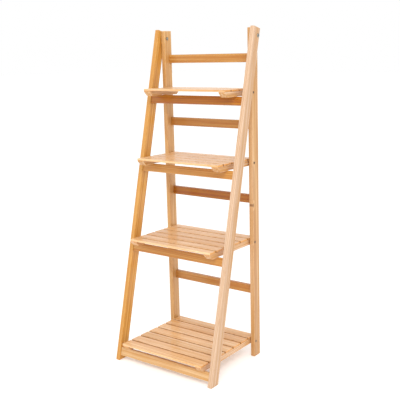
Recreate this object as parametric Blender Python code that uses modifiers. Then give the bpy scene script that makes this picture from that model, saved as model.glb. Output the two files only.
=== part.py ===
"""Folding four-tier ladder shelf in clear-lacquered pine.

A leaning front frame and a nearly upright rear frame cross near their tops on two
pivot bolts.  Four slatted shelves hang on screws in the rear legs and rest on the
front crossbars.  To fold it, the shelves tip up between the rear legs and the front
frame swings back against them.

Axes: +X to the right seen from the front, +Y to the rear, +Z up, in metres.
The origin is on the floor, under the middle of the object.
Lengths along Y below are counted from the toe of the front legs, "the toe line".
"""

import math

import bmesh
import bpy
from mathutils import Matrix, Vector

# ---- driving dimensions ------------------------------------------------------------
HEIGHT = 1.0785                      # floor to the tip of the front legs
WIDTH = 0.388                        # over the outer faces of the front legs
LEG_THICK = 0.015                    # all four legs, across X
LEG_DEPTH = 0.0355                   # all four legs, square to their length
FRONT_LEAN = math.radians(13.0)      # front legs lean back towards their tops
REAR_LEAN = math.radians(-0.95)      # rear legs kick out slightly at their feet
REAR_TOP = 1.0740                    # height of the rear legs
REAR_TOE = 0.276                     # front edge of the rear feet, from the toe line
LEG_SPACE = 0.0018                   # between a front leg and a rear leg, for the washer
FIT = 0.0003                         # clearance where two pieces touch
EDGE_ROUND = 0.0015                  # eased edges of legs and rails

CROSSBAR_HIGH = 0.027
CROSSBAR_THICK = 0.0135
CROSSBAR_INSET = 0.0032              # behind the front faces of the front legs
RAIL_HIGH = 0.0275
RAIL_THICK = 0.0148
TENON_LONG = 0.008
TENON_SHOULDER = 0.003

SLAT_WIDE = 0.0392
SLAT_SPACE = 0.0060
SLAT_THICK = 0.0065
SLAT_LONG = 0.318
SLAT_ROUND = 0.0016
DECK_BACK = 0.3066                   # rear edge of the lowest shelf, from the toe line
BEARER_HIGH = 0.0165
BEARER_WIDE = 0.024
BEARER_INSET = 0.0006                # bearer's side behind the slat ends
BEARER_REAR = 0.2920                 # rear end of every bearer, from the toe line
HEEL_CUT = 0.0090                    # 45 degree cut under the rear end of a bearer
NOSE_CUT = 0.0138                    # and under its front end
NOSE_SETBACK = 0.0014                # bearer's tip behind the front slat's edge
NOTCH_DEEP = 0.0016                  # seat of the crossbar in a bearer's underside
NOTCH_FRONT_PLAY = 0.0006
NOTCH_REAR_PLAY = 0.0045
NOTCH_RAMP = 0.028                   # long way out to the rear, so the bar can slide back

PIVOT_Y = 0.2697                     # pivot bolts of the two frames
PIVOT_Z = 1.0490
SCREW_BACK = 0.0090                  # shelf screws, behind the rear legs' front faces
SCREW_DROP = 0.0125                  # and below the shelf's upper face

BOLT_RADIUS = 0.003
BOLT_HEAD_RADIUS = 0.0058
BOLT_HEAD_HIGH = 0.0030
PIVOT_BORE_LONG = 0.090              # cutter of the pivot holes, through both legs
NUT_RADIUS = 0.0055
NUT_HIGH = 0.0048
NUT_ON_BOLT = 0.6                    # share of the nut's height that the bolt enters
NUT_RIM = 0.5                        # share of its height that is plain cylinder
NUT_DOME_BASE = 0.55                 # its dome starts here and is this much narrower
NUT_DOME_WIDE = 0.82
WASHER_RADIUS = 0.0080
SCREW_RADIUS = 0.0020
SCREW_HEAD_RADIUS = 0.0038
SCREW_HEAD_HIGH = 0.0010             # low, so the folding front legs pass over it
SCREW_HEAD_FLAT = 0.75               # shares of the head's radius and height that
SCREW_HEAD_SHOULDER = 0.95           # make its rounded rim
SCREW_HEAD_RIM = 0.6
SCREW_BITE = 0.0160                  # of the shelf screw in its bearer
DOME_STEPS = 4
BOLT_SEGMENTS = 24
SCREW_SEGMENTS = 20

# One row for each tier, from the top: height of the shelf's upper face, number of
# slats, width of its front slat, height of the middle of the rear rail above it.
TIERS = (
    (0.8885, 4, 0.0320, 0.9825),
    (0.6665, 5, 0.0286, 0.7725),
    (0.4065, 6, 0.0296, 0.5325),
    (0.0650, 7, 0.0392, 0.2255),
)

# ---- values that follow ------------------------------------------------------------
FRONT_OUT = WIDTH / 2
FRONT_IN = FRONT_OUT - LEG_THICK
REAR_OUT = FRONT_IN - LEG_SPACE
REAR_IN = REAR_OUT - LEG_THICK
SIDES = (("left", -1), ("right", 1))
BEARER_OUT = SLAT_LONG / 2 - BEARER_INSET
BEARER_MID = BEARER_OUT - BEARER_WIDE / 2
BEARER_TOP_DROP = SLAT_THICK + FIT
BEARER_LOW_DROP = BEARER_TOP_DROP + BEARER_HIGH
REAR_HEEL = REAR_TOE + LEG_DEPTH / math.cos(REAR_LEAN)
DECK_DEEPEST = TIERS[3][1] * SLAT_WIDE + (TIERS[3][1] - 1) * SLAT_SPACE
FRONT_EDGE = min(0.0, DECK_BACK - DECK_DEEPEST)
MIDDLE_Y = (FRONT_EDGE + REAR_HEEL) / 2          # the origin, from the toe line

PINE = (0.80, 0.56, 0.31)
PINE_SLAT = (0.82, 0.58, 0.34)
STEEL = (0.32, 0.31, 0.30)


# ---- scene and small helpers -------------------------------------------------------
def clear_scene():
    for obj in list(bpy.data.objects):
        bpy.data.objects.remove(obj, do_unlink=True)


def new_collection(name):
    collection = bpy.data.collections.new(name)
    bpy.context.scene.collection.children.link(collection)
    return collection


def wood_material(name, colour):
    material = bpy.data.materials.new(name)
    material.use_nodes = True
    shader = material.node_tree.nodes["Principled BSDF"]
    shader.inputs["Base Color"].default_value = (*colour, 1.0)
    shader.inputs["Roughness"].default_value = 0.38
    return material


def steel_material():
    material = bpy.data.materials.new("zinc_steel")
    material.use_nodes = True
    shader = material.node_tree.nodes["Principled BSDF"]
    shader.inputs["Base Color"].default_value = (*STEEL, 1.0)
    shader.inputs["Roughness"].default_value = 0.35
    shader.inputs["Metallic"].default_value = 1.0
    return material


clear_scene()
PARTS = new_collection("ladder_shelf")
CUTTERS = new_collection("cutters")
PINE_MATERIAL = wood_material("pine", PINE)
SLAT_MATERIAL = wood_material("pine_slat", PINE_SLAT)
STEEL_MATERIAL = steel_material()


def place(y, z, x=0.0):
    """A point of the part's frame, from a Y counted from the toe line."""
    return Vector((x, y - MIDDLE_Y, z))


def add_object(name, mesh, material, parent, location, rotation=(0.0, 0.0, 0.0)):
    """Link a piece at a world place and hang it on the empty of its moving group."""
    mesh.name = name
    obj = bpy.data.objects.new(name, mesh)
    if not mesh.materials:
        mesh.materials.append(material)
    PARTS.objects.link(obj)
    obj.location = Vector(location) - parent.location
    obj.rotation_euler = rotation
    obj.parent = parent
    return obj


def add_group(name, location):
    """An empty on a joint's axis; the pieces that move together are its children."""
    empty = bpy.data.objects.new(name, None)
    PARTS.objects.link(empty)
    empty.location = location
    empty.empty_display_size = 0.03
    return empty


def box_mesh(size):
    mesh = bpy.data.meshes.new("box")
    bm = bmesh.new()
    bmesh.ops.create_cube(bm, size=1.0)
    bmesh.ops.scale(bm, vec=size, verts=bm.verts)
    bm.to_mesh(mesh)
    bm.free()
    return mesh


def outline_mesh(points, thickness):
    """Extrude a flat outline of (y, z) points to a board centred on X = 0."""
    curve = bpy.data.curves.new("outline", "CURVE")
    curve.dimensions = "2D"
    curve.fill_mode = "BOTH"
    curve.extrude = thickness / 2
    spline = curve.splines.new("POLY")
    spline.points.add(len(points) - 1)
    for point, (y, z) in zip(spline.points, points):
        point.co = (y, z, 0.0, 1.0)
    spline.use_cyclic_u = True
    outline = bpy.data.objects.new("outline", curve)
    PARTS.objects.link(outline)
    bpy.context.view_layer.update()
    evaluated = outline.evaluated_get(bpy.context.evaluated_depsgraph_get())
    mesh = bpy.data.meshes.new_from_object(evaluated)
    bpy.data.objects.remove(outline)
    bpy.data.curves.remove(curve)
    # the curve lies in its own XY plane: stand it up in the YZ plane
    stand_up = Matrix(((0, 0, 1, 0), (1, 0, 0, 0), (0, 1, 0, 0), (0, 0, 0, 1)))
    bm = bmesh.new()
    bm.from_mesh(mesh)
    bmesh.ops.remove_doubles(bm, verts=bm.verts, dist=0.00001)
    bmesh.ops.dissolve_limit(bm, angle_limit=math.radians(1), verts=bm.verts, edges=bm.edges)
    bmesh.ops.transform(bm, matrix=stand_up, verts=bm.verts)
    bmesh.ops.recalc_face_normals(bm, faces=bm.faces)
    bm.to_mesh(mesh)
    bm.free()
    return mesh


def ease_edges(obj, width, limit="ANGLE"):
    bevel = obj.modifiers.new("eased_edges", "BEVEL")
    bevel.width = width
    bevel.segments = 2
    bevel.limit_method = limit
    bevel.angle_limit = math.radians(40)
    shade_round(obj.data)


def shade_round(mesh):
    mesh.shade_smooth()
    mesh.set_sharp_from_angle(angle=math.radians(35))


def cut(obj, cutter):
    boolean = obj.modifiers.new("cut_" + cutter.name, "BOOLEAN")
    boolean.operation = "DIFFERENCE"
    boolean.solver = "EXACT"
    boolean.object = cutter


def add_cutter(name, mesh, location, rotation=(0.0, 0.0, 0.0)):
    cutter = bpy.data.objects.new("cutter_" + name, mesh)
    CUTTERS.objects.link(cutter)
    cutter.location = location
    cutter.rotation_euler = rotation
    cutter.hide_render = True
    cutter.display_type = "WIRE"
    return cutter


def bore_cutter(name, radius, length, location):
    """A round cutter along X."""
    mesh = bpy.data.meshes.new("bore")
    bm = bmesh.new()
    bmesh.ops.create_cone(bm, cap_ends=True, segments=24, radius1=radius,
                          radius2=radius, depth=length)
    bm.to_mesh(mesh)
    bm.free()
    return add_cutter(name, mesh, location, (0.0, math.pi / 2, 0.0))


def turned_mesh(profile, segments):
    """Turn (radius, height) points round Z; the points run from top to bottom."""
    mesh = bpy.data.meshes.new("profile")
    mesh.from_pydata([(radius, 0.0, height) for radius, height in profile],
                     [(i, i + 1) for i in range(len(profile) - 1)], [])
    obj = bpy.data.objects.new("profile", mesh)
    PARTS.objects.link(obj)
    screw = obj.modifiers.new("turn", "SCREW")
    screw.steps = segments
    screw.render_steps = segments
    screw.use_merge_vertices = True
    screw.merge_threshold = 0.00005
    bpy.context.view_layer.update()
    evaluated = obj.evaluated_get(bpy.context.evaluated_depsgraph_get())
    turned = bpy.data.meshes.new_from_object(evaluated)
    bpy.data.objects.remove(obj)
    bpy.data.meshes.remove(mesh)
    shade_round(turned)
    return turned


# ---- legs --------------------------------------------------------------------------
def leg_outline(toe, lean, top):
    """Side view of a leg: foot cut level with the floor, top cut square."""
    along = Vector((math.sin(lean), math.cos(lean)))
    across = Vector((math.cos(lean), -math.sin(lean)))
    toe_point = Vector((toe, 0.0))
    heel_point = Vector((toe + LEG_DEPTH / math.cos(lean), 0.0))
    top_front = toe_point + along * (top / math.cos(lean))
    top_rear = top_front + across * LEG_DEPTH
    return [toe_point, heel_point, top_rear, top_front]


def front_face_y(z):
    """The front legs' front faces, from the toe line."""
    return z * math.tan(FRONT_LEAN)


def rear_face_y(z):
    """The rear legs' front faces, from the toe line."""
    return REAR_TOE + z * math.tan(REAR_LEAN)


def add_leg(name, side, outer_x, toe, lean, top, parent):
    mesh = outline_mesh(leg_outline(toe, lean, top), LEG_THICK)
    middle_x = side * (outer_x - LEG_THICK / 2)
    leg = add_object(name, mesh, PINE_MATERIAL, parent, place(0.0, 0.0, middle_x))
    ease_edges(leg, EDGE_ROUND)
    return leg


# ---- bars between the legs ---------------------------------------------------------
def bar_mesh(length, thick, high):
    """A bar along X with a stub tenon on each end and eased long edges."""
    mesh = bpy.data.meshes.new("bar")
    bm = bmesh.new()
    bmesh.ops.create_cube(bm, size=1.0)
    bmesh.ops.scale(bm, vec=(length, thick, high), verts=bm.verts)
    weight = bm.edges.layers.float.new("bevel_weight_edge")
    for edge in bm.edges:
        run = edge.verts[1].co - edge.verts[0].co
        edge[weight] = 1.0 if abs(run.x) > length / 2 else 0.0
    ends = [face for face in bm.faces if abs(face.normal.x) > 0.9]
    bmesh.ops.inset_individual(bm, faces=ends, thickness=TENON_SHOULDER, use_even_offset=True)
    for face in ends:
        outward = Vector((math.copysign(TENON_LONG, face.normal.x), 0.0, 0.0))
        extruded = bmesh.ops.extrude_discrete_faces(bm, faces=[face])
        tip = extruded["faces"][0]
        bmesh.ops.translate(bm, vec=outward, verts=tip.verts)
    bm.to_mesh(mesh)
    bm.free()
    return mesh


def mortise_cutter(name, side, inner_x, thick, high, location, rotation):
    """The pocket in a leg for one tenon, with clearance all round."""
    play = 2 * FIT
    size = (
        2 * (TENON_LONG + FIT),
        thick - 2 * TENON_SHOULDER + play,
        high - 2 * TENON_SHOULDER + play,
    )
    centre = Vector(location)
    centre.x = side * inner_x
    return add_cutter(name, box_mesh(size), centre, rotation)


def add_bar(name, inner_x, thick, high, location, lean, legs, parent):
    length = 2 * (inner_x - FIT)
    rotation = (-lean, 0.0, 0.0)
    mesh = bar_mesh(length, thick, high)
    bar = add_object(name, mesh, PINE_MATERIAL, parent, location, rotation)
    ease_edges(bar, EDGE_ROUND, "WEIGHT")
    for (side_name, side), leg in zip(SIDES, legs):
        mortise = mortise_cutter(name + "_" + side_name, side, inner_x, thick, high,
                                 location, rotation)
        cut(leg, mortise)
    return bar


def crossbar_centre(shelf_top):
    """Centre of a front crossbar whose front upper edge carries the bearers."""
    top_edge_z = shelf_top - BEARER_LOW_DROP + NOTCH_DEEP - FIT
    down = CROSSBAR_HIGH / 2
    back = CROSSBAR_THICK / 2
    edge_y = front_face_y(top_edge_z) + CROSSBAR_INSET / math.cos(FRONT_LEAN)
    y = edge_y - down * math.sin(FRONT_LEAN) + back * math.cos(FRONT_LEAN)
    z = top_edge_z - down * math.cos(FRONT_LEAN) - back * math.sin(FRONT_LEAN)
    return y, z


def rail_centre_y(z):
    """Rear rails sit flush with the rear faces of the rear legs."""
    return rear_face_y(z) + LEG_DEPTH / math.cos(REAR_LEAN) - RAIL_THICK / 2


# ---- fasteners ---------------------------------------------------------------------
def dome(radius, high, base):
    """Points of a shallow dome from its crown down to its rim."""
    points = []
    for i in range(DOME_STEPS + 1):
        angle = math.pi / 2 * i / DOME_STEPS
        points.append((radius * math.sin(angle), base + high * math.cos(angle)))
    return points


def bolt_mesh():
    """Pivot bolt: domed head outside, plain shank through both legs, along +Z."""
    stack = 2 * LEG_THICK + LEG_SPACE
    tip = -stack - NUT_HIGH * NUT_ON_BOLT
    profile = dome(BOLT_HEAD_RADIUS, BOLT_HEAD_HIGH, FIT)
    profile += [(BOLT_RADIUS, FIT), (BOLT_RADIUS, tip), (0.0, tip)]
    return turned_mesh(profile, BOLT_SEGMENTS)


def nut_mesh():
    """Cap nut for the pivot bolt: a domed cup with a blind bore, mouth at Z = 0."""
    bore = BOLT_RADIUS + FIT
    bore_deep = NUT_HIGH * NUT_ON_BOLT + 2 * FIT
    crown = dome(NUT_RADIUS * NUT_DOME_WIDE, NUT_HIGH * (1 - NUT_DOME_BASE),
                 NUT_HIGH * NUT_DOME_BASE)
    profile = crown + [(NUT_RADIUS, NUT_HIGH * NUT_RIM), (NUT_RADIUS, FIT), (bore, FIT)]
    profile += [(bore, bore_deep), (0.0, bore_deep)]
    return turned_mesh(profile, BOLT_SEGMENTS)


def washer_mesh(outer, hole, thick):
    profile = [(hole, thick / 2), (outer, thick / 2), (outer, -thick / 2),
               (hole, -thick / 2), (hole, thick / 2)]
    return turned_mesh(profile, BOLT_SEGMENTS)


def screw_mesh():
    """Shelf screw: pan head outside the rear leg, shank through it into the bearer."""
    reach = REAR_OUT - BEARER_OUT + SCREW_BITE
    crown = FIT + SCREW_HEAD_HIGH
    profile = [(0.0, crown),
               (SCREW_HEAD_RADIUS * SCREW_HEAD_FLAT, crown),
               (SCREW_HEAD_RADIUS * SCREW_HEAD_SHOULDER, FIT + SCREW_HEAD_HIGH * SCREW_HEAD_RIM),
               (SCREW_HEAD_RADIUS, FIT),
               (SCREW_RADIUS, FIT),
               (SCREW_RADIUS, -reach + SCREW_RADIUS),
               (0.0, -reach)]
    return turned_mesh(profile, SCREW_SEGMENTS)


def side_rotation(side):
    """Turns a +Z axis outwards along X, to the given side."""
    return (0.0, side * math.pi / 2, 0.0)


# ---- shelves -----------------------------------------------------------------------
def slat_spans(shelf_top, count, front_width):
    """(rear edge, width) of each slat from the back, the narrow one at the front.

    The slats keep the same lines on every shelf.  Where the rear legs stand further
    forward, the rear slat is ripped flush with their rear faces.
    """
    spans = []
    rear = DECK_BACK
    for i in range(count):
        width = front_width if i == count - 1 else SLAT_WIDE
        spans.append((rear, width))
        rear -= width + SLAT_SPACE
    legs_back = rear_face_y(shelf_top) + LEG_DEPTH / math.cos(REAR_LEAN)
    ripped = max(0.0, DECK_BACK - legs_back)
    spans[0] = (DECK_BACK - ripped, spans[0][1] - ripped)
    return spans


def bearer_outline(shelf_top, deck_front):
    """Side view of a bearer: both ends cut at 45 degrees, and the crossbar's seat.

    The seat's step in front of the crossbar keeps the frames from splaying; behind
    the crossbar it runs out slowly, so the frame can fold back under the bearer.
    """
    upper = shelf_top - BEARER_TOP_DROP
    lower = shelf_top - BEARER_LOW_DROP
    tip = deck_front + NOSE_SETBACK
    edge_y = front_face_y(lower + NOTCH_DEEP) + CROSSBAR_INSET / math.cos(FRONT_LEAN)
    seat_front = edge_y - NOTCH_FRONT_PLAY
    seat_rear = edge_y + CROSSBAR_THICK * math.cos(FRONT_LEAN) + NOTCH_REAR_PLAY
    return [
        (BEARER_REAR - HEEL_CUT, lower),
        (BEARER_REAR, lower + HEEL_CUT),
        (BEARER_REAR, upper),
        (tip, upper),
        (tip, lower + NOSE_CUT),
        (tip + NOSE_CUT, lower),
        (seat_front, lower),
        (seat_front, lower + NOTCH_DEEP),
        (seat_rear, lower + NOTCH_DEEP),
        (seat_rear + NOTCH_RAMP, lower),
    ]


def add_shelf(number, shelf_top, count, front_width, rear_legs, rear_group):
    pivot_z = shelf_top - SCREW_DROP
    pivot_y = rear_face_y(pivot_z) + SCREW_BACK
    group = add_group("shelf_%d_hinge" % number, place(pivot_y, pivot_z))
    spans = slat_spans(shelf_top, count, front_width)
    deck_front = spans[-1][0] - spans[-1][1]

    for i, (rear, width) in enumerate(reversed(spans), start=1):
        name = "shelf_%d_slat_%d" % (number, i)
        size = (SLAT_LONG, width, SLAT_THICK)
        centre = place(rear - width / 2, shelf_top - SLAT_THICK / 2)
        slat = add_object(name, box_mesh(size), SLAT_MATERIAL, group, centre)
        ease_edges(slat, SLAT_ROUND)

    for (side_name, side), leg in zip(SIDES, rear_legs):
        name = "shelf_%d_bearer_%s" % (number, side_name)
        mesh = outline_mesh(bearer_outline(shelf_top, deck_front), BEARER_WIDE)
        bearer = add_object(name, mesh, PINE_MATERIAL, group,
                            place(0.0, 0.0, side * BEARER_MID))
        axis = place(pivot_y, pivot_z)
        axis.x = side * REAR_OUT
        reach = REAR_OUT - BEARER_OUT + SCREW_BITE + FIT
        bore = bore_cutter(name, SCREW_RADIUS + FIT, 2 * reach, axis)
        cut(bearer, bore)
        cut(leg, bore)
        add_object("shelf_%d_screw_%s" % (number, side_name), screw_mesh(), STEEL_MATERIAL,
                   rear_group, axis, side_rotation(side))


# ---- assembly ----------------------------------------------------------------------
def build():
    rear_group = add_group("rear_frame", place(0.0, 0.0))
    fold_axis = place(PIVOT_Y, PIVOT_Z)
    front_group = add_group("front_frame_hinge", fold_axis)

    front_legs = []
    rear_legs = []
    for side_name, side in SIDES:
        front_legs.append(add_leg("front_leg_" + side_name, side, FRONT_OUT, 0.0,
                                  FRONT_LEAN, HEIGHT, front_group))
        rear_legs.append(add_leg("rear_leg_" + side_name, side, REAR_OUT, REAR_TOE,
                                 REAR_LEAN, REAR_TOP, rear_group))

    for i, (shelf_top, count, front_width, rail_z) in enumerate(TIERS, start=1):
        bar_y, bar_z = crossbar_centre(shelf_top)
        add_bar("front_crossbar_%d" % i, FRONT_IN, CROSSBAR_THICK, CROSSBAR_HIGH,
                place(bar_y, bar_z), FRONT_LEAN, front_legs, front_group)
        add_bar("rear_rail_%d" % i, REAR_IN, RAIL_THICK, RAIL_HIGH,
                place(rail_centre_y(rail_z), rail_z), REAR_LEAN, rear_legs, rear_group)
        add_shelf(i, shelf_top, count, front_width, rear_legs, rear_group)

    for (side_name, side), front_leg, rear_leg in zip(SIDES, front_legs, rear_legs):
        head = fold_axis.copy()
        head.x = side * FRONT_OUT
        bore = bore_cutter("pivot_" + side_name, BOLT_RADIUS + FIT, PIVOT_BORE_LONG, head)
        cut(front_leg, bore)
        cut(rear_leg, bore)
        add_object("pivot_bolt_" + side_name, bolt_mesh(), STEEL_MATERIAL, rear_group,
                   head, side_rotation(side))
        inner = fold_axis.copy()
        inner.x = side * REAR_IN
        add_object("pivot_nut_" + side_name, nut_mesh(), STEEL_MATERIAL, rear_group,
                   inner, side_rotation(-side))
        between = fold_axis.copy()
        between.x = side * (FRONT_IN - LEG_SPACE / 2)
        washer = washer_mesh(WASHER_RADIUS, BOLT_RADIUS + FIT, LEG_SPACE - 2 * FIT)
        add_object("pivot_washer_" + side_name, washer, STEEL_MATERIAL, rear_group,
                   between, side_rotation(side))
    bpy.context.view_layer.update()


build()
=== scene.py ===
"""Looks of the folding ladder shelf: clear-lacquered pine boards and plated steel."""
import math
import random

import bmesh
import bpy
from mathutils import Matrix, Vector


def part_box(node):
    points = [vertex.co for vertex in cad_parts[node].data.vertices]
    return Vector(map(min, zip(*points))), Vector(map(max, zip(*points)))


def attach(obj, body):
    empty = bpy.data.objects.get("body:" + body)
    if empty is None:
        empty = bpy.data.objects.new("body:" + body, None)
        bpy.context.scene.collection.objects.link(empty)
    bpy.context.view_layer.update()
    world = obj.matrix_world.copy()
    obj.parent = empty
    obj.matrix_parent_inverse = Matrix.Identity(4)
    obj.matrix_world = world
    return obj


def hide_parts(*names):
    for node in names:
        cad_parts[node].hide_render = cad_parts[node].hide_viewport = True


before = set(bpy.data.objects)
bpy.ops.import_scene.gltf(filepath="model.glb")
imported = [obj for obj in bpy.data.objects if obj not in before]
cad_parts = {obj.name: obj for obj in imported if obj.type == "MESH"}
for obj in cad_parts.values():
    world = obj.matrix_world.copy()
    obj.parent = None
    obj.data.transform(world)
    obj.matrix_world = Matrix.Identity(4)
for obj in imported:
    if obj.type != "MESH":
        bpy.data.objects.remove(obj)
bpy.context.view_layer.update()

# All lengths are in metres.
FRONT_LEAN = math.radians(13.0)     # how far the two frames lean, which their grain follows
REAR_LEAN = math.radians(-0.95)
SIDES = (("left", -1), ("right", 1))

# fasteners
FIT = 0.0003                        # play between steel and its seat
SCREW_RADIUS = 0.0020
SCREW_HEAD_HIGH = 0.0010
SCREW_PITCH = 0.0014
SLOT_DEEP = 0.00075
SLOT_SCALE = 0.00055                # a slot is 1.41 times as wide
BOLT_RADIUS = 0.0030
BOLT_HEAD_HIGH = 0.0030
BOLT_PITCH = 0.0010
SOCKET_RADIUS = 0.0019
SOCKET_DEEP = 0.0021
ROUND = 48                          # segments of the large turned shapes

# growth rings of each board, drawn between two limits
RING_WIDTH = (0.0026, 0.0040)
PITH_REACH = (0.035, 0.085)         # from the board's middle to the pith
PITH_SLOPE = 0.018                  # how far the pith may lean against the board

# noises in the grain: coordinates per metre along and across, and a share of the seed to shift by
WANDER = (2.2, 9.0, 1.0)
STREAKS = (2.2, 150.0, 1.7)
CLOUDS = (6.0, 22.0, 2.3)
FIBRES = (28.0, 1500.0, 1.0)
PORES = (90.0, 1900.0, 3.1)

# studio
FLOOR_HALF = 40.0
AIM = (0.0, 0.0, 0.5)               # what the lights point at
CAMERA_PLACE = (1.3452, -1.7741, 0.9788)
CAMERA_TURN = (36.116, -10.328, -0.86)      # yaw, pitch and roll in degrees
CAMERA_LENS = 63.58
CAMERA_SHIFT = -0.0292


# ---- node helpers ------------------------------------------------------------------
class Tree:
    """Short calls for building a material's nodes."""

    def __init__(self, material):
        material.use_nodes = True
        self.tree = material.node_tree
        self.tree.nodes.clear()

    def node(self, kind, **settings):
        made = self.tree.nodes.new(kind)
        for key, value in settings.items():
            setattr(made, key, value)
        return made

    def put(self, socket, value):
        if isinstance(value, bpy.types.NodeSocket):
            self.tree.links.new(value, socket)
        else:
            socket.default_value = value

    def math(self, operation, *values):
        made = self.node("ShaderNodeMath", operation=operation)
        for socket, value in zip(made.inputs, values):
            self.put(socket, value)
        return made.outputs[0]

    def vector(self, operation, *values):
        made = self.node("ShaderNodeVectorMath", operation=operation)
        for socket, value in zip(made.inputs, values):
            self.put(socket, value)
        return made

    def dot(self, first, second):
        return self.vector("DOT_PRODUCT", first, second).outputs["Value"]

    def combine(self, *values):
        made = self.node("ShaderNodeCombineXYZ")
        for socket, value in zip(made.inputs, values):
            self.put(socket, value)
        return made.outputs[0]

    def bump(self, height, strength, distance):
        made = self.node("ShaderNodeBump")
        made.inputs["Strength"].default_value = strength
        made.inputs["Distance"].default_value = distance
        self.put(made.inputs["Height"], height)
        return made.outputs[0]

    def smooth(self, value, low, high, to_low=0.0, to_high=1.0):
        """A soft step from to_low to to_high, as the value goes from low to high."""
        made = self.node("ShaderNodeMapRange", interpolation_type="SMOOTHSTEP")
        for socket, number in zip(made.inputs, (value, low, high, to_low, to_high)):
            self.put(socket, number)
        return made.outputs[0]

    def noise(self, vector, scale, detail, roughness=0.5):
        made = self.node("ShaderNodeTexNoise")
        self.put(made.inputs["Vector"], vector)
        made.inputs["Scale"].default_value = scale
        made.inputs["Detail"].default_value = detail
        made.inputs["Roughness"].default_value = roughness
        return made.outputs["Fac"]

    def mix(self, factor, first, second):
        made = self.node("ShaderNodeMix", data_type="RGBA")
        self.put(made.inputs["Factor"], factor)
        self.put(made.inputs["A"], first)
        self.put(made.inputs["B"], second)
        return made.outputs["Result"]

    def surface(self):
        """The material's one shader, already on the output."""
        shader = self.node("ShaderNodeBsdfPrincipled")
        output = self.node("ShaderNodeOutputMaterial")
        self.put(output.inputs["Surface"], shader.outputs[0])
        return shader


def colour(tone, share=1.0):
    return (*[channel * share for channel in tone], 1.0)


# ---- pine --------------------------------------------------------------------------
def board_axes(name):
    """Unit vectors along a board's length, width and thickness, at rest."""
    if "slat" in name:
        return Vector((1, 0, 0)), Vector((0, 1, 0)), Vector((0, 0, 1))
    if "bearer" in name:
        return Vector((0, 1, 0)), Vector((1, 0, 0)), Vector((0, 0, 1))
    lean = FRONT_LEAN if name.startswith("front") else REAR_LEAN
    up = Vector((0, math.sin(lean), math.cos(lean)))
    back = Vector((0, math.cos(lean), -math.sin(lean)))
    if "leg" in name:
        return up, back, Vector((1, 0, 0))
    return Vector((1, 0, 0)), up, back


def board_extent(name, axes):
    """Middle and half sizes of a board, measured along its own axes."""
    points = [vertex.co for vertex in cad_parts[name].data.vertices]
    middle = Vector((0, 0, 0))
    halves = []
    for axis in axes:
        along = [point.dot(axis) for point in points]
        middle += axis * ((max(along) + min(along)) / 2)
        halves.append((max(along) - min(along)) / 2)
    return middle, halves


class Board:
    """A board's material, with its coordinates from its middle as sockets."""

    def __init__(self, name, rng):
        axes = board_axes(name)
        middle, self.halves = board_extent(name, axes)
        self.material = bpy.data.materials.new("pine_" + name)
        self.tree = Tree(self.material)
        place = self.tree.node("ShaderNodeTexCoord")
        self.local = self.tree.vector("SUBTRACT", place.outputs["Object"], middle).outputs[0]
        self.length, self.width, self.thick = [self.tree.dot(self.local, axis) for axis in axes]
        self.facing_end = self.tree.dot(place.outputs["Normal"], axes[0])
        self.facing_edge = self.tree.dot(place.outputs["Normal"], axes[1])
        self.seed = rng.uniform(0, 50)
        slow = self.noise(WANDER, self.width, self.thick, 1.0)
        self.wander = self.tree.math("SUBTRACT", slow, 0.5)

    def noise(self, grain, width, thick, detail, roughness=0.5):
        """A noise that is drawn out along the board."""
        along, across, shift = grain
        t = self.tree
        place = t.combine(t.math("MULTIPLY_ADD", self.length, along, self.seed * shift),
                          t.math("MULTIPLY", width, across), t.math("MULTIPLY", thick, across))
        return t.noise(place, 1.0, detail, roughness)


def knot_field(board, knots):
    """How far knots push the growth rings out, where they lie, and their own rings."""
    t = board.tree
    swell = 0.0
    mask = 0.0
    own_rings = 0.0
    for along, across, size in knots:
        dl = t.math("DIVIDE", t.math("SUBTRACT", board.length, along), size * 1.5)
        dw = t.math("DIVIDE", t.math("SUBTRACT", board.width, across), size)
        near = t.math("ADD", t.math("MULTIPLY", dl, dl), t.math("MULTIPLY", dw, dw))
        distance = t.math("SQRT", near)
        push = t.math("EXPONENT", t.math("MULTIPLY", near, -0.35))
        swell = t.math("MULTIPLY_ADD", push, size * 1.6, swell)
        here = t.smooth(distance, 1.05, 0.75)
        mask = t.math("MAXIMUM", mask, here)
        rings = t.math("SINE", t.math("MULTIPLY", distance, 17.0))
        own_rings = t.math("MULTIPLY_ADD", t.math("MULTIPLY", rings, here), 0.5, own_rings)
    return swell, mask, own_rings


def growth_rings(board, rng, swell):
    """The dark late wood round a pith beside the board, and the distances from the pith."""
    t = board.tree
    turn = rng.uniform(0, math.tau)
    reach = rng.uniform(*PITH_REACH)
    slope = rng.uniform(-PITH_SLOPE, PITH_SLOPE)
    leaning = t.math("MULTIPLY_ADD", board.length, slope, board.width)
    off_w = t.math("SUBTRACT", leaning, reach * math.cos(turn))
    off_w = t.math("MULTIPLY_ADD", board.wander, 0.012, off_w)
    off_t = t.math("SUBTRACT", board.thick, reach * math.sin(turn))
    squares = t.math("ADD", t.math("MULTIPLY", off_w, off_w), t.math("MULTIPLY", off_t, off_t))
    radius = t.math("ADD", t.math("SQRT", squares), swell)
    uneven = t.combine(t.math("MULTIPLY_ADD", radius, 70.0, board.seed),
                       t.math("MULTIPLY", board.length, 1.5))
    years = t.math("DIVIDE", radius, rng.uniform(*RING_WIDTH))
    years = t.math("MULTIPLY_ADD", t.noise(uneven, 1.0, 2.0), 2.4, years)
    season = t.math("FRACT", years)
    late = t.math("MULTIPLY", t.smooth(season, 0.25, 0.88), t.smooth(season, 1.0, 0.93))
    return late, off_w, off_t


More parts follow.
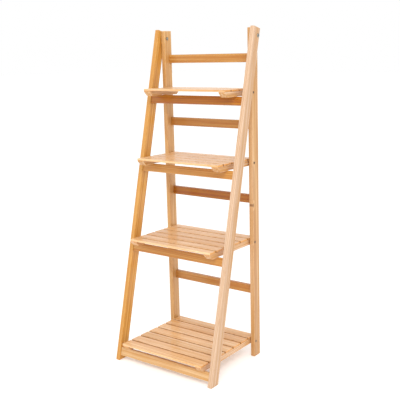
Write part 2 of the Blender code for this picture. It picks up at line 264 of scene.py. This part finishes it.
def worn_and_highlit_arrises(board):
    """Where the board's long edges and corners are paler, in patches: rubbed wear and a painted
    highlight.
    """
    t = board.tree
    gaps = []
    for value, half in zip((board.length, board.width, board.thick), board.halves):
        gaps.append(t.math("SUBTRACT", half, t.math("ABSOLUTE", value)))
    smallest = t.math("MINIMUM", t.math("MINIMUM", gaps[0], gaps[1]), gaps[2])
    largest = t.math("MAXIMUM", t.math("MAXIMUM", gaps[0], gaps[1]), gaps[2])
    total = t.math("ADD", t.math("ADD", gaps[0], gaps[1]), gaps[2])
    second = t.math("SUBTRACT", t.math("SUBTRACT", total, smallest), largest)
    patch = t.noise(board.local, 60.0, 2.0)
    return t.math("MULTIPLY", t.smooth(second, 0.0026, 0.0006), t.smooth(patch, 0.30, 0.62))


def pine(name, tone, rng, contrast=1.0, knots=(), gloss=0.25, gap_shade_shares=(0.0, 0.0), front_light=0.0):
    """Solid pine for one board: rings round a pith beside it, streaks, pores, knots.

    The two shares given for the gaps tell how much painted shade darkens the front and
    rear edges where they face a gap between boards.  A positive front value paints the
    front face and edge paler, as painted light, a negative one darker, as painted shade.
    """
    board = Board(name, rng)
    t = board.tree
    swell, knot_mask, knot_rings = knot_field(board, knots)
    late, off_w, off_t = growth_rings(board, rng, swell)
    bent_width = t.math("MULTIPLY_ADD", board.wander, 0.008, board.width)
    band = board.noise(STREAKS, bent_width, board.thick, 3.0, 0.6)
    cloud = board.noise(CLOUDS, board.width, board.thick, 2.0)
    fibre = board.noise(FIBRES, off_w, off_t, 3.0, 0.6)
    pore = t.smooth(board.noise(PORES, off_w, off_t, 1.0), 0.66, 0.76)
    end = t.smooth(t.math("ABSOLUTE", board.facing_end), 0.75, 0.95)

    # the wood's own colours
    light, deep, dark = tone
    body = t.mix(t.smooth(band, 0.36, 0.64, 0.0, contrast), colour(light), colour(deep))
    body = t.mix(t.smooth(cloud, 0.35, 0.70, 0.0, 0.45), body, colour(deep))
    # painted light or painted shade: the front face and edge made lighter or darker than the sides
    if front_light:
        near_front = t.smooth(board.width, -board.halves[1], -0.1 * board.halves[1], abs(front_light), 0.0)
        body = t.mix(near_front, body, colour(light if front_light > 0 else deep))
    body = t.mix(t.math("MULTIPLY", late, 0.50 * contrast), body, colour(dark))
    body = t.mix(t.smooth(fibre, 0.35, 0.75, 0.0, 0.16), body, colour(dark))
    body = t.mix(t.math("MULTIPLY", pore, 0.30), body, colour(dark, 0.55))
    if knots:
        inside = t.mix(t.smooth(knot_rings, -0.5, 0.5), colour(dark, 0.62), colour(dark, 0.34))
        body = t.mix(t.math("MULTIPLY", knot_mask, 0.85), body, inside)

    # painted shade on the gap sides, darker sawn ends, and arrises paler from wear and a painted
    # highlight
    # painted shade: a slat's sides that face a gap are darkened where the next slat shades them
    for share, sign in zip(gap_shade_shares, (-1.0, 1.0)):
        if share:
            facing = t.math("MULTIPLY", board.facing_edge, sign)
            body = t.mix(t.smooth(facing, 0.25, 0.75, 0.0, share), body, colour(dark, 0.80))
    sawn = (deep[0] * 0.95, deep[1] * 0.76, deep[2] * 0.42)
    body = t.mix(t.math("MULTIPLY", end, 0.70), body, colour(sawn))
    # paler arrises: rubbed wear, and a painted highlight where light catches their rounding
    worn_and_highlit = [min(0.95, channel * 1.12) for channel in light]
    body = t.mix(t.math("MULTIPLY", worn_and_highlit_arrises(board), 0.35), body, colour(worn_and_highlit))

    rough = t.math("MULTIPLY_ADD", late, -0.07, 0.43)
    rough = t.math("MULTIPLY_ADD", fibre, 0.08, rough)
    rough = t.math("MULTIPLY_ADD", end, 0.16, rough)
    relief = t.math("MULTIPLY_ADD", late, 0.45, t.math("MULTIPLY", fibre, 0.40))
    relief = t.math("MULTIPLY_ADD", pore, -0.60, relief)

    shader = t.surface()
    t.put(shader.inputs["Base Color"], body)
    t.put(shader.inputs["Roughness"], rough)
    t.put(shader.inputs["Normal"], t.bump(relief, 0.35, 0.00025))
    shader.inputs["IOR"].default_value = 1.45
    shader.inputs["Coat Weight"].default_value = gloss
    shader.inputs["Coat Roughness"].default_value = 0.08
    shader.inputs["Coat IOR"].default_value = 1.5
    return board.material


def set_material(obj, material):
    obj.data.materials.clear()
    obj.data.materials.append(material)


# Mean linear colours of the boards, which were cut from several trunks.
WOODS = {
    "golden": (0.66, 0.36, 0.080),
    "pale": (0.60, 0.385, 0.205),
    "honey": (0.67, 0.40, 0.155),
    "tan": (0.57, 0.33, 0.130),
    "toffee": (0.55, 0.255, 0.048),
    "amber": (0.42, 0.145, 0.003),
    "rose": (0.78, 0.475, 0.215),
    "blush": (0.71, 0.45, 0.235),
}
BOARD_WOODS = {
    "front_leg_left": "golden",
    "front_leg_right": "pale",
    "front_crossbar_1": "amber",
    "front_crossbar_4": "honey",
    "rear_leg_right": "tan",
    "rear_rail_3": "amber",
    "shelf_1_bearer_left": "honey",
    "shelf_2_bearer_left": "honey",
}
# other boards, by the first of these words in their names
KIND_WOODS = (("slat", "rose"), ("bearer", "blush"), ("leg", "honey"), ("", "toffee"))
# boards whose front edge is painted paler (above 0, painted light) or darker (below 0, painted
# shade) than the rest
PAINTED_FRONT_LIGHT = {
    "front_leg_right": 0.80,
    "front_leg_left": -0.55,
    "rear_leg_left": -0.55,
    "rear_leg_right": 0.25,
}
# knots of single boards: (along, across, size) from the board's middle
KNOTS = {"rear_leg_right": ((-0.02, -0.0155, 0.0036),)}
# slats: less streaky and glossier than the bars, with painted shade on their sides inside the gaps
# between them
SLAT_CONTRAST = 0.8
SLAT_GLOSS = 0.35
GAP_SHADE = 0.85


def board_tone(name, rng):
    """Light, deeper and dark colours of one board, all from the mean of its wood."""
    wood = BOARD_WOODS.get(name)
    if wood is None:
        wood = next(wood for kind, wood in KIND_WOODS if kind in name)
    red, green, blue = WOODS[wood]
    shade = rng.uniform(0.94, 1.05)
    warm = rng.uniform(-0.03, 0.03)
    red, green, blue = red * shade, green * shade * (1 - warm), blue * shade * (1 - 2 * warm)
    light = (min(0.92, red * 1.16), green * 1.32, blue * 1.75)
    deep = (red * 0.87, green * 0.72, blue * 0.45)
    dark = (red * 0.66, green * 0.46, blue * 0.27)
    return light, deep, dark


def slat_gap_shading(name):
    """How much painted shade darkens a slat's front and rear edges: an outer edge isn't in a gap.
    """
    following = "%s_%d" % (name[:-2], int(name[-1]) + 1)
    front = 0.0 if name.endswith("_1") else GAP_SHADE
    return front, GAP_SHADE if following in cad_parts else 0.0


def dress_boards():
    for index, name in enumerate(sorted(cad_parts)):
        if "screw" in name or name.startswith("pivot"):
            continue
        rng = random.Random(1000 + index)
        tone = board_tone(name, rng)
        if "slat" in name:
            material = pine(name, tone, rng, SLAT_CONTRAST, gloss=SLAT_GLOSS,
                            gap_shade_shares=slat_gap_shading(name))
        else:
            material = pine(name, tone, rng, knots=KNOTS.get(name, ()), front_light=PAINTED_FRONT_LIGHT.get(name, 0.0))
        set_material(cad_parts[name], material)


# ---- steel -------------------------------------------------------------------------
def steel(name, dull, bright, dirt):
    """Plated steel, darker where polish and dirt gather."""
    material = bpy.data.materials.new(name)
    t = Tree(material)
    place = t.node("ShaderNodeTexCoord").outputs["Object"]
    fine = t.noise(place, 900.0, 3.0)
    broad = t.noise(place, 160.0, 2.0)
    stain = t.noise(place, 420.0, 3.0)
    shade = t.mix(broad, colour(dull), colour(bright))
    shade = t.mix(t.smooth(stain, 0.45, 0.75, 0.0, 0.6), shade, colour(dirt))
    rough = t.math("MULTIPLY_ADD", fine, 0.25, 0.24)
    rough = t.math("MULTIPLY_ADD", stain, 0.15, rough)
    shader = t.surface()
    t.put(shader.inputs["Base Color"], shade)
    t.put(shader.inputs["Roughness"], rough)
    t.put(shader.inputs["Normal"], t.bump(fine, 0.2, 0.0001))
    shader.inputs["Metallic"].default_value = 1.0
    return material


ZINC = steel("zinc_plated", (0.25, 0.24, 0.21), (0.42, 0.40, 0.35), (0.10, 0.08, 0.06))
BRONZE = steel("bronzed", (0.16, 0.11, 0.08), (0.30, 0.22, 0.16), (0.06, 0.04, 0.03))


# ---- bolts, cap nuts and screws ----------------------------------------------------
def new_object(name, data):
    obj = bpy.data.objects.new(name, data)
    bpy.context.scene.collection.objects.link(obj)
    return obj


def turned(name, profile, segments):
    """A closed solid from (radius, height) points, turned round Z, crown first."""
    mesh = bpy.data.meshes.new(name)
    verts = []
    rings = []
    for radius, height in profile:
        if radius == 0.0:
            rings.append([len(verts)])
            verts.append((0.0, 0.0, height))
            continue
        rings.append(list(range(len(verts), len(verts) + segments)))
        for i in range(segments):
            angle = math.tau * i / segments
            verts.append((radius * math.cos(angle), radius * math.sin(angle), height))
    faces = []
    for upper, lower in zip(rings, rings[1:]):
        for i in range(segments):
            j = (i + 1) % segments
            corners = [upper[i % len(upper)], lower[i % len(lower)],
                       lower[j % len(lower)], upper[j % len(upper)]]
            face = list(dict.fromkeys(corners))
            if len(face) > 2:
                faces.append(face)
    mesh.from_pydata(verts, [], faces)
    mesh.update()
    return mesh


def prism(name, sides, radius, low, high, turn=0.0):
    """An upright prism between two heights."""
    bm = bmesh.new()
    bmesh.ops.create_cone(bm, cap_ends=True, segments=sides, radius1=radius,
                          radius2=radius, depth=high - low)
    bmesh.ops.rotate(bm, verts=bm.verts, cent=(0, 0, 0), matrix=Matrix.Rotation(turn, 3, "Z"))
    bmesh.ops.translate(bm, verts=bm.verts, vec=(0.0, 0.0, (low + high) / 2))
    mesh = bpy.data.meshes.new(name)
    bm.to_mesh(mesh)
    bm.free()
    return mesh


def carve(mesh, tool, operation):
    """The solid of two meshes, with its own clean mesh."""
    body = new_object("body", mesh)
    other = new_object("tool", tool)
    boolean = body.modifiers.new("carve", "BOOLEAN")
    boolean.operation = operation
    boolean.solver = "EXACT"
    boolean.object = other
    bpy.context.view_layer.update()
    evaluated = body.evaluated_get(bpy.context.evaluated_depsgraph_get())
    made = bpy.data.meshes.new_from_object(evaluated)
    made.name = mesh.name
    bpy.data.objects.remove(body)
    bpy.data.objects.remove(other)
    return made


def finish_steel(mesh, material):
    mesh.shade_smooth()
    mesh.set_sharp_from_angle(angle=math.radians(32))
    mesh.materials.clear()
    mesh.materials.append(material)
    return mesh


def threads(radius, depth, start, end, pitch):
    """Profile points of a thread's ridges, between two heights going down."""
    points = []
    height = start
    while height - pitch > end:
        points += [(radius - depth, height), (radius, height - pitch / 2)]
        height -= pitch
    return points + [(radius - depth, height)]


def dome(radius, base, crown, steps):
    """Profile points of a dome below its crown, each an eighth of the arc further down."""
    points = []
    for step in range(1, steps + 1):
        angle = math.pi / 2 * step / 8
        points.append((radius * math.sin(angle), base + (crown - base) * math.cos(angle)))
    return points


def screw_mesh(radius, head, high, tip):
    """Pan-head screw with a cross recess; the head's underside is at height FIT."""
    profile = [(0.0, high), (head * 0.45, high * 0.99), (head * 0.75, high * 0.88),
               (head * 0.93, high * 0.62), (head * 0.995, FIT + (high - FIT) * 0.25),
               (head * 0.98, FIT), (radius * 0.96, FIT)]
    profile += [(radius * 0.96, tip * 0.25)]
    profile += threads(radius * 0.98, radius * 0.22, tip * 0.27, tip * 0.88, SCREW_PITCH)
    profile += [(radius * 0.3, tip * 0.97), (0.0, tip * 0.998)]
    mesh = turned("shelf_screw", profile, 40)
    for turn in (0.0, math.pi / 2):
        slot = prism("slot", 4, 1.0, high - SLOT_DEEP, high + 0.0004, math.pi / 4)
        slot.transform(Matrix.Diagonal((head * 0.72, SLOT_SCALE, 1.0, 1.0)))
        slot.transform(Matrix.Rotation(turn, 4, "Z"))
        mesh = carve(mesh, slot, "DIFFERENCE")
    return finish_steel(mesh, BRONZE)


def bolt_mesh(radius, head, high, tip):
    """Domed furniture bolt with a hexagon socket."""
    profile = [(0.0, high)] + dome(head * 0.995, FIT * 2, high, 8)
    profile += [(head * 0.995, FIT * 1.3), (head * 0.96, FIT), (radius * 0.98, FIT)]
    profile += [(radius * 0.98, tip * 0.70)]
    profile += threads(radius * 0.99, radius * 0.13, tip * 0.72, tip * 0.96, BOLT_PITCH)
    profile += [(radius * 0.7, tip * 0.998), (0.0, tip * 0.998)]
    mesh = turned("pivot_bolt", profile, ROUND)
    socket = prism("socket", 6, SOCKET_RADIUS, high - SOCKET_DEEP, high + 0.001)
    return finish_steel(carve(mesh, socket, "DIFFERENCE"), ZINC)


def nut_mesh(radius, bore, high, deep):
    """Cap nut: hexagon flats below, dome above, blind threaded bore."""
    base = high * 0.52
    shape = prism("cap_nut", 6, radius * 0.999, FIT, base)
    profile = [(0.0, high * 0.999)] + dome(radius * 0.80, base, high, 7)
    profile += [(radius * 0.80, base * 0.97), (radius * 0.80, base * 0.6), (0.0, base * 0.6)]
    shape = carve(shape, turned("crown", profile, ROUND), "UNION")
    hole = [(0.0, deep)] + threads(bore * 1.06, bore * 0.08, deep, FIT * 0.5, BOLT_PITCH)
    hole += [(bore, -FIT), (0.0, -FIT)]
    return finish_steel(carve(shape, turned("bore", hole, 32), "DIFFERENCE"), ZINC)


def stand(name, node, mesh, start_x, side, twist):
    """Put a turned mesh on its node's axis, its +Z pointing along X to one side."""
    low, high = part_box(node)
    piece = new_object(name, mesh)
    centre = Vector((start_x, (low.y + high.y) / 2, (low.z + high.z) / 2))
    turn = Matrix.Rotation(side * math.pi / 2, 4, "Y") @ Matrix.Rotation(twist, 4, "Z")
    piece.matrix_world = Matrix.Translation(centre) @ turn
    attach(piece, "rear_frame")
    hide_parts(node)


def node_shape(node):
    """Radius and length of a turned fastener that lies along X."""
    low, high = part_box(node)
    return (high.z - low.z) / 2, high.x - low.x


def node_end(node, side):
    """Where a fastener ends along X, on its left or right."""
    low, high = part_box(node)
    return high.x if side > 0 else low.x


def add_screws(rng):
    radius, length = node_shape("shelf_1_screw_right")
    crown = FIT + SCREW_HEAD_HIGH
    screw = screw_mesh(SCREW_RADIUS, radius, crown, crown - length)
    for number in range(1, 5):
        for side_name, side in SIDES:
            node = "shelf_%d_screw_%s" % (number, side_name)
            stand("shelf_%d_cross_screw_%s" % (number, side_name), node, screw,
                  node_end(node, side) - side * crown, side, rng.uniform(0, math.tau))


def add_bolts_and_nuts(rng):
    radius, length = node_shape("pivot_bolt_right")
    crown = FIT + BOLT_HEAD_HIGH
    bolt = bolt_mesh(BOLT_RADIUS, radius, crown, crown - length)
    nut_radius, nut_length = node_shape("pivot_nut_right")
    nut_high = nut_length + FIT
    nut = nut_mesh(nut_radius, BOLT_RADIUS + FIT, nut_high, nut_high * 0.6 + 2 * FIT)
    for side_name, side in SIDES:
        node = "pivot_bolt_" + side_name
        stand("pivot_socket_bolt_" + side_name, node, bolt, node_end(node, side) - side * crown,
              side, rng.uniform(0, math.tau))
        node = "pivot_nut_" + side_name
        stand("pivot_cap_nut_" + side_name, node, nut, node_end(node, side) + side * FIT,
              -side, rng.uniform(0, math.tau))
        set_material(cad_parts["pivot_washer_" + side_name], ZINC)


def add_fasteners():
    rng = random.Random(77)
    add_screws(rng)
    add_bolts_and_nuts(rng)


# ---- floor, light and camera -------------------------------------------------------
def add_floor():
    """A pale floor that glows a little, so that only soft shadows show on it."""
    mesh = bpy.data.meshes.new("floor")
    bm = bmesh.new()
    bmesh.ops.create_grid(bm, x_segments=1, y_segments=1, size=FLOOR_HALF)
    bm.to_mesh(mesh)
    bm.free()
    floor = new_object("floor", mesh)
    material = bpy.data.materials.new("floor")
    shader = Tree(material).surface()
    shader.inputs["Base Color"].default_value = (0.90, 0.90, 0.90, 1.0)
    shader.inputs["Roughness"].default_value = 0.9
    shader.inputs["Specular IOR Level"].default_value = 0.2
    shader.inputs["Emission Color"].default_value = (1.0, 1.0, 1.0, 1.0)
    shader.inputs["Emission Strength"].default_value = 0.22
    set_material(floor, material)


def add_area(name, place, size, power):
    lamp = bpy.data.lights.new(name, "AREA")
    lamp.shape = "RECTANGLE"
    lamp.size, lamp.size_y = size
    lamp.energy = power
    obj = new_object(name, lamp)
    obj.location = place
    obj.rotation_euler = (Vector(AIM) - Vector(place)).to_track_quat("-Z", "Y").to_euler()


def add_world():
    world = bpy.data.worlds.new("studio")
    world.use_nodes = True
    background = world.node_tree.nodes["Background"]
    background.inputs["Color"].default_value = (1.0, 1.0, 1.0, 1.0)
    background.inputs["Strength"].default_value = 1.0
    bpy.context.scene.world = world
    bpy.context.scene.view_settings.view_transform = "Standard"


def add_camera():
    """Seen from the front right, a little below the top, with a slight roll."""
    data = bpy.data.cameras.new("camera")
    data.sensor_width = 36.0
    data.lens = CAMERA_LENS
    data.shift_y = CAMERA_SHIFT
    data.clip_start = 0.05
    data.clip_end = 100.0
    camera = new_object("camera", data)
    yaw, pitch, roll = [math.radians(angle) for angle in CAMERA_TURN]
    ahead = Vector((-math.sin(yaw) * math.cos(pitch), math.cos(yaw) * math.cos(pitch),
                    math.sin(pitch)))
    right = Vector((math.cos(yaw), math.sin(yaw), 0.0))
    up = right.cross(ahead)
    across = math.cos(roll) * right + math.sin(roll) * up
    upward = -math.sin(roll) * right + math.cos(roll) * up
    turn = Matrix((across, upward, -ahead)).transposed()
    camera.matrix_world = Matrix.Translation(CAMERA_PLACE) @ turn.to_4x4()
    bpy.context.scene.camera = camera


# ---- the scene ---------------------------------------------------------------------
dress_boards()
add_fasteners()
add_floor()
add_world()
add_area("key", (1.9, -2.35, 2.8), size=(1.8, 1.8), power=62.0)
add_area("fill", (-2.6, -1.8, 1.6), size=(2.0, 2.4), power=8.0)
add_camera()
